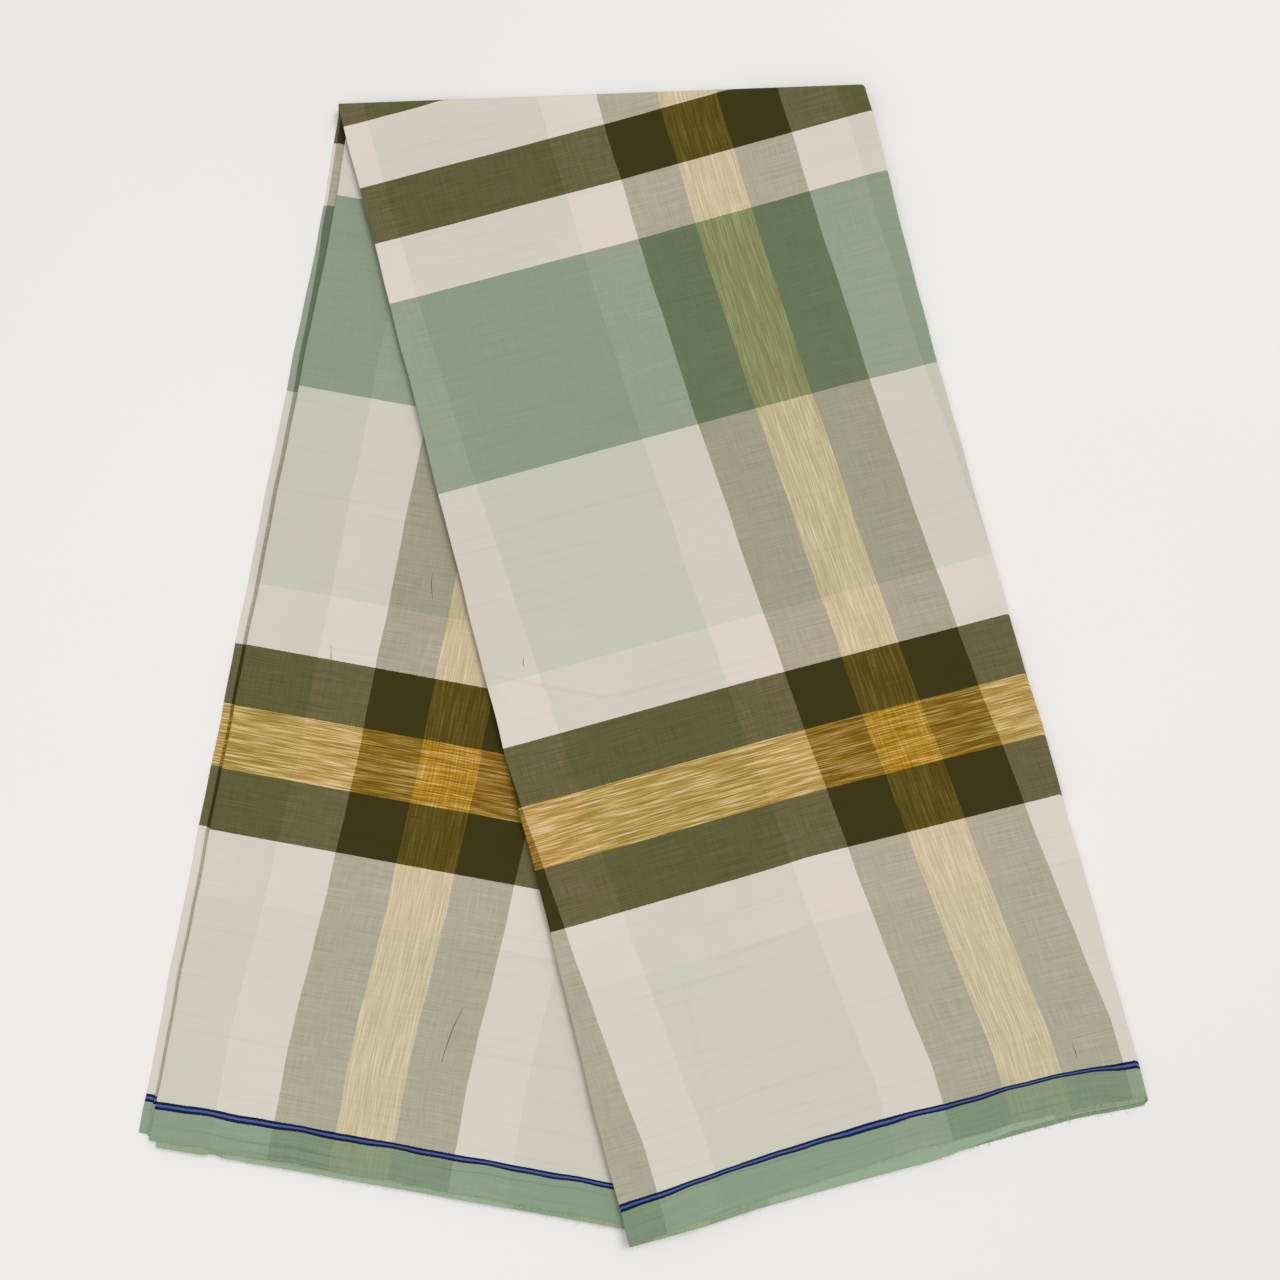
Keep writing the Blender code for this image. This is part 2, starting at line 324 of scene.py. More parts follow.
class Profile:
    def __init__(self):
        self.u = []
        self.depth = []
        self.sheets = []

    def add(self, u, depth, weights):
        row = np.zeros(sheetCount)
        for number, weight in weights:
            row[number] += weight
        self.u.append(u)
        self.depth.append(depth)
        self.sheets.append(row)

    def run(self, number, start, end, step, closer=None):
        for place in spacedPlaces(start, end, step, closer):
            self.add(place, sheetDepth(number), [(number, 1.0)])

    def turn(self, side, number):
        other, inset, radius = foldOf(side, number)
        centre = flatEnd(side, number)
        steps = next(count for limit, count in foldSteps if radius < limit)
        middle = (sheetDepth(number) + sheetDepth(other)) / 2
        rise = sheetDepth(number) - middle
        for step in range(1, steps):
            angle = math.pi * step / steps
            out = radius * math.sin(angle)
            share = step / steps
            self.add(
                centre - out if side == "open" else centre + out,
                middle + rise * math.cos(angle),
                [(number, 1 - share), (other, share)],
            )

    def finish(self, zeroSheet, zeroU=0.0):
        self.u = np.array(self.u)
        self.depth = np.array(self.depth)
        self.sheets = np.array(self.sheets)
        keep = np.ones(len(self.u), bool)
        steps = np.hypot(np.diff(self.u), np.diff(self.depth))
        keep[1:] = steps > 1e-7
        self.u, self.depth, self.sheets = self.u[keep], self.depth[keep], self.sheets[keep]
        steps = np.hypot(np.diff(self.u), np.diff(self.depth))
        run = np.concatenate([[0.0], np.cumsum(steps)])
        on = np.flatnonzero(self.sheets[:, zeroSheet] > 0.999)
        order = on[np.argsort(self.u[on])]
        self.around = run - np.interp(zeroU, self.u[order], run[order])
        return self


def faceProfile():
    # the two outer sheets with the folds that lead on from them
    made = Profile()
    shared = foldedStrip["sharedRun"]
    fine = foldedStrip["faceColumnStep"]
    made.run(1, shared, flatEnd("open", 1), foldedStrip["sharedStep"][1])
    made.turn("open", 1)
    made.run(0, flatEnd("open", 0), flatEnd("round", 0), fine, closerColumns[0])
    made.turn("round", 0)
    made.run(7, flatEnd("round", 7), flatEnd("open", 7), fine, closerColumns[7])
    made.turn("open", 7)
    made.run(4, flatEnd("open", 4), flatEnd("open", 4) + shared, foldedStrip["sharedStep"][4])
    return made.finish(0)


def innerProfile(face):
    # the six sheets between, from where sheet 4 leaves the face round to where sheet 1 meets it
    made = Profile()
    coarse = foldedStrip["innerColumnStep"]
    shared = foldedStrip["sharedRun"]
    made.run(4, flatEnd("open", 4) + shared, flatEnd("round", 4), coarse)
    made.turn("round", 4)
    order = (("round", 3, "open"), ("open", 2, "round"), ("round", 5, "open"), ("open", 6, "round"))
    for side, number, nextSide in order:
        made.run(number, flatEnd(side, number), flatEnd(nextSide, number), coarse)
        made.turn(nextSide, number)
    made.run(1, flatEnd("round", 1), shared, coarse)
    made.finish(1, shared)
    # the tube's seam is out of sight between sheets 4 and 3, so the check needn't meet there
    made.around = made.around + face.around[0]
    fromFour = made.sheets[:, 4] > 0.5
    steps = np.hypot(np.diff(made.u), np.diff(made.depth))
    run = np.concatenate([[0.0], np.cumsum(steps)])
    made.around[fromFour] = face.around[-1] + run[fromFour]
    return made


# Band edges along the cloth, from its middle, and where they lie down the left half
bandPlaces = {
    "fromMiddle": (-0.0515, -0.018, 0.018, 0.0515, 0.085, 0.1965, 0.307,
                   0.3415, 0.375, 0.410, 0.444, 0.479, 0.5905),
    "left": (-0.0840, -0.0510, -0.0150, 0.0185, 0.0512, 0.1615, 0.2740,
             0.3085, 0.3423, 0.3775, 0.4113, 0.4467, 0.5585),
    "right": {
        0.010: (-0.0160, 0.0152, 0.0518, 0.0848, 0.1198, 0.2299, 0.3397,
                0.3743, 0.4077, 0.4425, 0.4766, 0.5120, 0.6248),
        0.145: (-0.0160, 0.0143, 0.0509, 0.0840, 0.1193, 0.2284, 0.3387,
                0.3726, 0.4060, 0.4400, 0.4736, 0.5090, 0.6191),
        0.280: (-0.0185, 0.0113, 0.0479, 0.0813, 0.1163, 0.2272, 0.3388,
                0.3730, 0.4070, 0.4420, 0.4757, 0.5110, 0.6233),
    },
}

# How far the stripes lean from the strip's own direction at a distance down a half
stripeLean = {
    "right": ((0.0, 0.0), (0.06, 0.0), (0.12, -0.002), (0.2, -0.006), (0.32, -0.014),
              (0.425, -0.022), (0.49, -0.028), (0.54, -0.033), (0.6, -0.040), (0.65, -0.040)),
    "leftFace": ((0.0, 0.001), (0.18, 0.001), (0.3, 0.0), (0.36, -0.0005), (0.395, -0.0015),
                 (0.43, -0.003), (0.48, -0.0055), (0.52, -0.008), (0.58, -0.0075)),
    "leftMiddle": ((0.0, 0.0), (0.15, -0.004), (0.58, -0.033)),
    "leftOuter": ((0.0, 0.0), (0.58, 0.0)),
}
leanGroups = {
    "left": {0: "leftOuter", 1: "leftOuter", 2: "leftOuter", 3: "leftOuter", 4: "leftFace", 5: "leftMiddle",
             6: "leftMiddle", 7: "leftFace"},
    "right": {number: "right" for number in range(sheetCount)},
}


def hemOf(half, u, number):
    first = hemColumn[half]
    wave = sum(height * np.sin(u * rate + phase * first) for height, rate, phase in hemWave)
    if number == faceSheet[half]:
        return readTable(hemTable, first, u) + wave, readTable(hemTable, first + 1, u) + wave
    tuck = hemTuck[half][number]
    shorter = np.interp(u, [row[0] for row in tuck], [row[1] for row in tuck])
    hem = readTable(hemTable, first + 2, u) - shorter
    return hem - borderWidth, hem


def placesDown(half, profile, place):
    # s for the sheets at a place (0 ridge, 1 woven line, 2 hem), and s for the face sheet there
    line = np.zeros(len(profile.u))
    hem = np.zeros(len(profile.u))
    for number in range(sheetCount):
        weight = profile.sheets[:, number]
        if weight.any():
            sheetLine, sheetHem = hemOf(half, profile.u, number)
            line += weight * sheetLine
            hem += weight * sheetHem
    start = foldStart(half, profile.u)
    faceLine, _ = hemOf(half, profile.u, faceSheet[half])
    if place <= 1:
        return start + place * (line - start), start + place * (faceLine - start), 0.0
    return line + (place - 1) * (hem - line), faceLine, (place - 1) * (hem - line)


def alongAt(half, u, s):
    edges = np.array(bandPlaces["fromMiddle"])
    if half == "left":
        return -np.interp(s, bandPlaces["left"], edges)
    columns = sorted(bandPlaces["right"])
    rows = np.array([bandPlaces["right"][column] for column in columns])
    found = np.empty(len(u))
    for i, place in enumerate(u):
        down = [np.interp(place, columns, rows[:, j]) for j in range(rows.shape[1])]
        found[i] = np.interp(s[i], down, edges)
    return found


def leanAt(half, profile, s):
    lean = np.zeros(len(profile.u))
    for number, group in leanGroups[half].items():
        weight = profile.sheets[:, number]
        if weight.any():
            rows = stripeLean[group]
            lean += weight * np.interp(s, [row[0] for row in rows], [row[1] for row in rows])
    return lean


def stationRow(profile, kind, place):
    # points and cloth measures (round the tube, along it from the middle) of one row
    if kind == "turn":
        x, y, z = turnPoint(profile.u, place, profile.depth)
        share = place / math.pi + 0.5
        left = alongAt("left", profile.u, foldStart("left", profile.u))
        right = alongAt("right", profile.u, foldStart("right", profile.u))
        lean = (1 - share) * leanAt("left", profile, foldStart("left", profile.u))
        lean = lean + share * leanAt("right", profile, foldStart("right", profile.u))
        return np.stack([x, y, z], 1), np.stack([profile.around + lean, left + share * (right - left)], 1)
    s, faceS, past = placesDown(kind, profile, place)
    x, y, z = halfPoint(kind, profile.u, s, profile.depth)
    if kind == "left":
        lowest = profile.sheets[:, :4].sum(1)
        faceS = faceS - lowest * np.interp(faceS, slip["downAt"], slip["down"])
    along = alongAt(kind, profile.u, faceS)
    if place > 1:
        sign = -1 if kind == "left" else 1
        along = sign * (bandPlaces["fromMiddle"][-1] + past)
    lean = leanAt(kind, profile, s)
    return np.stack([x, y, z], 1), np.stack([profile.around + lean, along], 1)


def sheetMesh(name, profile, rows):
    points = []
    measures = []
    for kind, place in rows:
        rowPoints, rowMeasures = stationRow(profile, kind, place)
        points.append(rowPoints)
        measures.append(rowMeasures)
    count = len(profile.u)
    points = np.concatenate(points)
    measures = np.concatenate(measures)
    faces = []
    for row in range(len(rows) - 1):
        first = row * count
        for i in range(count - 1):
            faces.append((first + i, first + i + 1, first + count + i + 1, first + count + i))
    mesh = bpy.data.meshes.new(name)
    mesh.from_pydata(points.tolist(), [], faces)
    layer = mesh.uv_layers.new(name="weave")
    corners = np.array([loop.vertex_index for loop in mesh.loops])
    layer.data.foreach_set("uv", measures[corners].astype(np.float32).ravel())
    mesh.shade_smooth()
    obj = bpy.data.objects.new(name, mesh)
    bpy.context.scene.collection.objects.link(obj)
    return obj


def thicken(obj):
    wall = obj.modifiers.new("ClothThickness", "SOLIDIFY")
    wall.thickness = foldedStrip["clothThickness"]
    wall.offset = 0
    wall.use_even_offset = False
    even = obj.modifiers.new("FaceNormals", "WEIGHTED_NORMAL")
    even.mode = "FACE_AREA"
    even.weight = foldedStrip["normalWeight"]
    return obj


turnSteps = foldedStrip["turnSteps"]
rowShare = {half: foldedStrip["rowStep"] / length for half, length in foldedStrip["rowLength"].items()}
leftPlaces = spacedPlaces(1, 0, rowShare["left"], closerRows["left"])
rightPlaces = spacedPlaces(0, 1, rowShare["right"], closerRows["right"])
clothRows = [("left", place) for place in leftPlaces]
clothRows += [("turn", math.pi * (step / turnSteps - 0.5)) for step in range(1, turnSteps)]
clothRows += [("right", place) for place in rightPlaces]
borderSteps = foldedStrip["borderSteps"]
leftBorderRows = [("left", 2 - i / borderSteps) for i in range(borderSteps + 1)]
rightBorderRows = [("right", 1 + i / borderSteps) for i in range(borderSteps + 1)]

face = faceProfile()
inner = innerProfile(face)
wrappedCloth = thicken(sheetMesh("wrapped_cloth", face, clothRows))
innerSheets = thicken(sheetMesh("inner_sheets", inner, clothRows))
borders = []
for half, rows in (("left", leftBorderRows), ("right", rightBorderRows)):
    borders.append(thicken(sheetMesh(half + "_border", face, rows)))
    borders.append(thicken(sheetMesh(half + "_inner_border", inner, rows)))
leftBorder, leftInnerBorder, rightBorder, rightInnerBorder = borders
faceCount = len(wrappedCloth.data.polygons) + len(innerSheets.data.polygons)
print("cloth laid in eight sheets:", faceCount, "faces")


# Loose yarn ends along the hems
fringeYarn = {
    "sheets": {"left": (7, 6, 5), "right": (0, 1, 7)},
    "seed": 11,
    "sides": 3,
    "twist": 0.5,
    # short ends that stick out past the hem
    "spacing": 0.0011,
    "gaps": (0.4, 1.7),
    "openInset": 0.001,
    "radius": 0.00011,
    "usualReach": 0.0007,
    "leastReach": 0.0002,
    "longestReach": 0.0032,
    "lean": 0.25,
    "curl": 0.2,
    "taper": ((-0.4, 1.0), (0.3, 1.0), (0.7, 0.75), (1.0, 0.3)),
    "lowest": 0.0002,
    # the last weft yarns, which lie along the raw edge
    "edgeInset": {"open": 0.002, "round": 0.02, "hem": 0.0002},
    "edgeLength": (0.015, 0.045),
    "edgeGap": (-0.004, 0.006),
    "edgePoints": 10,
    "edgeWander": (-0.00012, 0.00022),
    "edgeRadius": 0.00027,
    "edgeUneven": (0.7, 1.0),
    "edgeTip": 0.35,
    "edgeLift": 0.00030,
}


def yarnMesh(name, strands):
    # each strand is a list of (point, radius)
    sides = fringeYarn["sides"]
    points = []
    faces = []
    for strand in strands:
        base = len(points)
        for centre, radius in strand:
            for side in range(sides):
                angle = 2 * math.pi * side / sides + fringeYarn["twist"]
                x = centre[0] + radius * math.cos(angle)
                points.append((x, centre[1], centre[2] + radius * math.sin(angle)))
        for ring in range(len(strand) - 1):
            for side in range(sides):
                a = base + sides * ring + side
                b = base + sides * ring + (side + 1) % sides
                faces.append((a, b, b + sides, a + sides))
        last = base + sides * (len(strand) - 1)
        faces.append(tuple(range(base + sides - 1, base - 1, -1)))
        faces.append(tuple(range(last, last + sides)))
    mesh = bpy.data.meshes.new(name)
    mesh.from_pydata(points, [], faces)
    mesh.shade_smooth()
    obj = bpy.data.objects.new(name, mesh)
    bpy.context.scene.collection.objects.link(obj)
    return obj


def hemStrands(half, rng):
    strands = []
    for number in fringeYarn["sheets"][half]:
        place = flatEnd("open", number) + fringeYarn["openInset"]
        while place < flatEnd("round", number):
            u = np.array([place])
            _, hem = hemOf(half, u, number)
            reach = rng.exponential(fringeYarn["usualReach"]) + fringeYarn["leastReach"]
            reach = min(reach, fringeYarn["longestReach"])
            side = rng.normal(0, fringeYarn["lean"]) * reach
            curl = rng.normal(0, fringeYarn["curl"]) * reach
            strand = []
            for share, thinned in fringeYarn["taper"]:
                spot = np.array([place + side * max(share, 0) + curl * max(share, 0) ** 2])
                down = hem + reach * share
                x, y, z = halfPoint(half, spot, down, np.array([sheetDepth(number)]))
                height = max(float(z[0]), fringeYarn["lowest"])
                strand.append(((float(x[0]), float(y[0]), height), fringeYarn["radius"] * thinned))
            strands.append(strand)
            place += fringeYarn["spacing"] * rng.uniform(*fringeYarn["gaps"])
    return strands


def edgeStrands(half, rng):
    # yarns along the raw edge, loose here and there
    strands = []
    inset = fringeYarn["edgeInset"]
    for number in fringeYarn["sheets"][half]:
        place = flatEnd("open", number) + inset["open"]
        while place < flatEnd("round", number) - inset["round"]:
            length = rng.uniform(*fringeYarn["edgeLength"])
            strand = []
            for share in np.linspace(0, 1, fringeYarn["edgePoints"]):
                u = np.array([min(place + share * length, flatEnd("round", number))])
                _, hem = hemOf(half, u, number)
                down = hem - inset["hem"] + rng.uniform(*fringeYarn["edgeWander"])
                x, y, z = halfPoint(half, u, down, np.array([sheetDepth(number)]))
                atTip = share in (0.0, 1.0)
                thinned = fringeYarn["edgeTip"] if atTip else rng.uniform(*fringeYarn["edgeUneven"])
                height = float(z[0]) + fringeYarn["edgeLift"]
                strand.append(((float(x[0]), float(y[0]), height), fringeYarn["edgeRadius"] * thinned))
            strands.append(strand)
            place += length + rng.uniform(*fringeYarn["edgeGap"])
    return strands


rng = np.random.default_rng(fringeYarn["seed"])
leftFringe = yarnMesh("left_fringe", hemStrands("left", rng) + edgeStrands("left", rng))
rightFringe = yarnMesh("right_fringe", hemStrands("right", rng) + edgeStrands("right", rng))

# Dark thin strands on the face sheets, each from (u, s) to (u, s); the long one on the left half's press
# crease is painted crease shadow, a dark line standing in for the shade the crease casts
darkStrandsAndCreaseShade = {
    "left": (((0.0999, 0.2516), (0.1027, 0.2663)), ((0.0532, 0.3006), (0.0558, 0.3225)),
             # this strand lies along the press crease and paints its shadow
             ((0.1612, 0.4800), (0.1548, 0.5120))),
    "right": (((0.0221, 0.3295), (0.0215, 0.3345)), ((0.2576, 0.6069), (0.2570, 0.6149))),
    "radius": 0.00022,
    "tip": 0.3,
    "points": 7,
    "bend": 0.0004,
    "bendRate": (5, 90),
    "lift": 0.00012,
    "swell": (0.1, 0.8),
}
strandsAndCreaseShade = []
for half in ("left", "right"):
    depth = sheetDepth(faceSheet[half])
    for (uFrom, sFrom), (uTo, sTo) in darkStrandsAndCreaseShade[half]:
        strand = []
        for share in np.linspace(0, 1, darkStrandsAndCreaseShade["points"]):
            bend = math.sin(share * darkStrandsAndCreaseShade["bendRate"][0] + uFrom * darkStrandsAndCreaseShade["bendRate"][1])
            u = np.array([uFrom + share * (uTo - uFrom) + darkStrandsAndCreaseShade["bend"] * bend])
            s = np.array([sFrom + share * (sTo - sFrom)])
            x, y, z = halfPoint(half, u, s, np.array([depth]))
            swell = math.sin(math.pi * (darkStrandsAndCreaseShade["swell"][0] + darkStrandsAndCreaseShade["swell"][1] * share)) ** 2
            radius = darkStrandsAndCreaseShade["radius"] * (darkStrandsAndCreaseShade["tip"] + (1 - darkStrandsAndCreaseShade["tip"]) * swell)
            strand.append(((float(x[0]), float(y[0]), float(z[0]) + darkStrandsAndCreaseShade["lift"]), radius))
        strandsAndCreaseShade.append(strand)
strandPieceAndCreaseShade = yarnMesh("slub_threads", strandsAndCreaseShade)
print("yarn ends and slubs added")


# Yarn colours as they look, red green blue from 0 to 1
yarnColours = {
    "whiteBand": (0.834, 0.806, 0.758),
    "whiteStripe": (0.860, 0.790, 0.775),
    "mintBand": (0.766, 0.770, 0.712),
    # painted light: the lower mint band near the hems is the same mint yarn as mintBand, painted lighter
    # where the light falls brighter
    "lowerMintPaintedLight": (0.804, 0.794, 0.738),
    "mintStripe": (0.720, 0.708, 0.660),
    "olive": (0.222, 0.214, 0.050),
    "oliveStripe": (0.222, 0.178, 0.050),
    "goldPale": (0.870, 0.765, 0.540),
    "goldLight": (0.742, 0.585, 0.255),
    "goldBand": (0.602, 0.447, 0.088),
    "goldDeep": (0.470, 0.330, 0.010),
    "goldStripe": (0.648, 0.455, 0.092),
    "green": (0.457, 0.538, 0.437),
    "borderGreen": (0.503, 0.582, 0.487),
    "navy": (0.055, 0.095, 0.210),
    "blue": (0.270, 0.350, 0.600),
}

# The check: where each yarn colour starts, along the cloth from its middle and round the tube
checkPattern = {
    "bands": ((0.0, "whiteBand"), (0.018, "olive"), (0.0515, "whiteBand"), (0.085, "green"),
              (0.1965, "mintBand"), (0.307, "whiteBand"), (0.3415, "olive"), (0.375, "goldBand"),
              # the lower mint band carries painted light, lighter than the upper mint band
              (0.410, "olive"), (0.444, "whiteBand"), (0.479, "lowerMintPaintedLight"), (0.5905, "navy"),
              (0.5920, "blue"), (0.5932, "navy"), (0.5948, "borderGreen")),
    "stripes": ((0.0, "whiteStripe"), (0.0325, "mintStripe"), (0.1285, "whiteStripe"),
                (0.1605, "oliveStripe"), (0.1938, "goldStripe"), (0.2265, "oliveStripe")),
    "stripeRepeat": 0.2603,
    "stripeStart": 0.0195,
    # how much of the surface the band yarns cover; the woven line and the border hide more
    "bandShares": ((0.0, 0.73), (0.1965, 0.70), (0.3415, 0.73), (0.375, 0.70), (0.410, 0.73),
                   (0.479, 0.74), (0.5905, 0.97), (0.5948, 0.91)),
    "edgeWander": 0.0006,
}

clothFinish = {
    "roughness": 0.77,
    "roughnessSpread": 0.10,
    "specular": 0.16,
    "sheen": 0.06,
    "sheenRoughness": 0.45,
    "yarnsPerMetre": 2900,
    "streaksPerMetre": 1500,
    "streakRun": {"band": 33.0, "stripe": 60.0},
    "goldPerMetre": 1550,
    "goldRun": 50.0,
    "bandContrast": 0.26,
    "stripeContrast": 0.16,
    "slubsPerMetre": 380,
    "slubRun": 9.0,
    "broadPerMetre": 9.0,
    # where each noise is cut, so that they differ
    "layer": {"stripe": 4.2, "goldBand": 1.7, "goldStripe": 8.3, "slub": 6.1},
    "goldBandStops": (0.30, 0.46, 0.57, 0.70),
    "goldStripeStops": (0.30, 0.48, 0.60, 0.72),
    "slubStops": (0.27, 0.38, 0.62, 0.75),
    "broadTints": ((0.32, (0.984, 0.990, 0.984)), (0.50, (1.0, 0.998, 0.996)), (0.68, (1.012, 0.998, 1.004))),
    "bump": 0.16,
    "bumpDepth": 0.00012,
    "weaveHeight": 0.18,
    "slubHeight": 0.5,
    # each material: how bright, and how deep its slubs are
    "plaid": (1.0, 0.02),
    "inner": (0.97, 0.02),
    "border": (1.0, 0.09),
    "innerBorder": (1.10, 0.05),
}
noiseRoughness = 0.55
displayGamma = 2.2


class Nodes:
    def __init__(self, material):
        self.tree = material.node_tree
        self.shader = self.tree.nodes["Principled BSDF"]

    def add(self, kind, **settings):
        node = self.tree.nodes.new(kind)
        for key, value in settings.items():
            setattr(node, key, value)
        return node

    def link(self, value, socket):
        if isinstance(value, (int, float)):
            socket.default_value = value
        elif isinstance(value, tuple):
            socket.default_value = (*value, 1.0)[:len(socket.default_value)]
        else:
            self.tree.links.new(value, socket)

    def math(self, operation, a, b=0.0, clamp=False):
        node = self.add("ShaderNodeMath", operation=operation, use_clamp=clamp)
        self.link(a, node.inputs[0])
        self.link(b, node.inputs[1])
        return node.outputs[0]

    def around(self, value, middle, scale):
        # how far a value is from a middle, scaled
        return self.math("MULTIPLY", self.math("SUBTRACT", value, middle), scale)

    def combine(self, x, y, z=0.0):
        node = self.add("ShaderNodeCombineXYZ")
        for value, socket in zip((x, y, z), node.inputs):
            self.link(value, socket)
        return node.outputs[0]

    def noise(self, vector, detail=2.0, scale=1.0):
        node = self.add("ShaderNodeTexNoise")
        self.link(vector, node.inputs["Vector"])
        node.inputs["Scale"].default_value = scale
        node.inputs["Detail"].default_value = detail
        node.inputs["Roughness"].default_value = noiseRoughness
        return node.outputs["Fac"]

    def ramp(self, factor, stops):
        # a blend through colours or greys
        node = self.add("ShaderNodeValToRGB")
        elements = node.color_ramp.elements
        for i, (place, colour) in enumerate(stops):
            element = elements[i] if i < len(elements) else elements.new(place)
            element.position = place
            element.color = (*colour, 1.0) if isinstance(colour, tuple) else (colour, colour, colour, 1.0)
        self.link(factor, node.inputs[0])
        return node.outputs[0]

    def steps(self, place, stops):
        # one value from each place to the next, with a clean edge between
        found = stops[0][1]
        for start, value in stops[1:]:
            found = self.mix(self.math("GREATER_THAN", place, start), found, value)
        return found

    def mix(self, factor, a, b, blend="MIX"):
        node = self.add("ShaderNodeMix", data_type="RGBA", blend_type=blend)
        self.link(factor, node.inputs["Factor"])
        self.link(a, node.inputs[6])
        self.link(b, node.inputs[7])
        return node.outputs[2]


def clothMaterial(name, finish):
    brightness, slubDepth = clothFinish[finish]
    layer = clothFinish["layer"]
    material = bpy.data.materials.new(name)
    material.use_nodes = True
    nodes = Nodes(material)
    weave = nodes.add("ShaderNodeUVMap", uv_map="weave")
    parts = nodes.add("ShaderNodeSeparateXYZ")
    nodes.link(weave.outputs["UV"], parts.inputs[0])
    around, along = parts.outputs[0], parts.outputs[1]

    def streaks(perMetreAround, perMetreAlong, cut=0.0, detail=2.0):
        place = nodes.combine(nodes.math("MULTIPLY", around, perMetreAround),
                              nodes.math("MULTIPLY", along, perMetreAlong), cut)
        return nodes.noise(place, detail)

    # yarn by yarn streaks: bands run round the tube, stripes run along it
    fine, run = clothFinish["streaksPerMetre"], clothFinish["streakRun"]
    bandYarn = streaks(run["band"], fine)
    stripeYarn = streaks(fine, run["stripe"], layer["stripe"])

    # space-dyed gold yarn, pale and deep by turns
    fine, run = clothFinish["goldPerMetre"], clothFinish["goldRun"]
    goldYarns = {}
    for yarn, streak in (
        ("goldBand", streaks(run, fine, layer["goldBand"], 1.0)),
        ("goldStripe", streaks(fine, run, layer["goldStripe"], 1.0)),
    ):
        shades = (yarnColours[shade] for shade in ("goldDeep", yarn, "goldLight", "goldPale"))
        goldYarns[yarn] = nodes.ramp(streak, list(zip(clothFinish[yarn + "Stops"], shades)))

    # each band and stripe starts at its place, with edges that wander by a yarn or so
    yarns = {**yarnColours, **goldYarns}
    wander = checkPattern["edgeWander"]
    bandPlace = nodes.math("ABSOLUTE", along)
    bandEdge = nodes.math("ADD", bandPlace, nodes.around(stripeYarn, 0.5, wander))
    bandColour = nodes.steps(bandEdge, [(place, yarns[yarn]) for place, yarn in checkPattern["bands"]])
    repeat = checkPattern["stripeRepeat"]
    turn = nodes.math("DIVIDE", nodes.math("ADD", around, checkPattern["stripeStart"]), repeat)
    stripePlace = nodes.math("MULTIPLY", nodes.math("FRACT", turn), repeat)
    stripeEdge = nodes.math("ADD", stripePlace, nodes.around(bandYarn, 0.5, wander))
    stripeColour = nodes.steps(stripeEdge, [(place, yarns[yarn]) for place, yarn in checkPattern["stripes"]])

    # the two sets of yarn cross, and which one lies on top changes from yarn to yarn
    uneven = nodes.math("SUBTRACT", nodes.around(bandYarn, 0.5, clothFinish["bandContrast"]),
                        nodes.around(stripeYarn, 0.5, clothFinish["stripeContrast"]))
    shares = [(place, (part, part, part)) for place, part in checkPattern["bandShares"]]
    usual = nodes.steps(bandPlace, shares)
    share = nodes.math("ADD", uneven, usual, clamp=True)
    colour = nodes.mix(share, stripeColour, bandColour)

    # thick and thin yarns, and broad soft unevenness
    slub = streaks(clothFinish["slubRun"], clothFinish["slubsPerMetre"], layer["slub"], 1.0)
    slubShades = (1 - slubDepth, 1 - slubDepth / 8, 1.0, 1 + slubDepth / 3)
    slubShade = nodes.ramp(slub, list(zip(clothFinish["slubStops"], slubShades)))
    broad = nodes.noise(weave.outputs["UV"], 2.0, clothFinish["broadPerMetre"])
    colour = nodes.mix(1.0, colour, slubShade, "MULTIPLY")
    colour = nodes.mix(1.0, colour, nodes.ramp(broad, clothFinish["broadTints"]), "MULTIPLY")
    if brightness != 1.0:
        colour = nodes.mix(1.0, colour, (brightness, brightness, brightness), "MULTIPLY")
    linear = nodes.add("ShaderNodeGamma")
    nodes.link(colour, linear.inputs[0])
    linear.inputs[1].default_value = displayGamma
    nodes.link(linear.outputs[0], nodes.shader.inputs["Base Color"])

    # plain weave, under and over, with the thicker yarns standing proud
    count = clothFinish["yarnsPerMetre"] * math.pi
    over = nodes.math("MULTIPLY", nodes.math("SINE", nodes.math("MULTIPLY", around, count)),
                      nodes.math("SINE", nodes.math("MULTIPLY", along, count)))
    height = nodes.math("ADD", nodes.math("MULTIPLY", over, clothFinish["weaveHeight"]),
                        nodes.math("ADD", bandYarn, stripeYarn))
    height = nodes.math("ADD", height, nodes.math("MULTIPLY", slub, clothFinish["slubHeight"]))
    bump = nodes.add("ShaderNodeBump")
    bump.inputs["Strength"].default_value = clothFinish["bump"]
    bump.inputs["Distance"].default_value = clothFinish["bumpDepth"]
    nodes.link(height, bump.inputs["Height"])
    nodes.link(bump.outputs[0], nodes.shader.inputs["Normal"])
    rough = nodes.math("MULTIPLY", bandYarn, clothFinish["roughnessSpread"])
    rough = nodes.math("ADD", rough, clothFinish["roughness"])
    nodes.link(rough, nodes.shader.inputs["Roughness"])
    nodes.shader.inputs["Specular IOR Level"].default_value = clothFinish["specular"]
    nodes.shader.inputs["Sheen Weight"].default_value = clothFinish["sheen"]
    nodes.shader.inputs["Sheen Roughness"].default_value = clothFinish["sheenRoughness"]
    return material


threadFinish = {
    "fringePale": (0.54, 0.61, 0.40),
    "fringeGreen": (0.38, 0.48, 0.30),
    # the dark strands' colours, which along the left half's press crease are painted shadow
    "strandAndShadePale": (0.09, 0.09, 0.06),
    "strandAndShadeDark": (0.070, 0.072, 0.045),
    "tintPerMetre": 700.0,
    "tintStops": (0.30, 0.52),
    "roughness": 0.9,
    "sheen": 0.2,
}


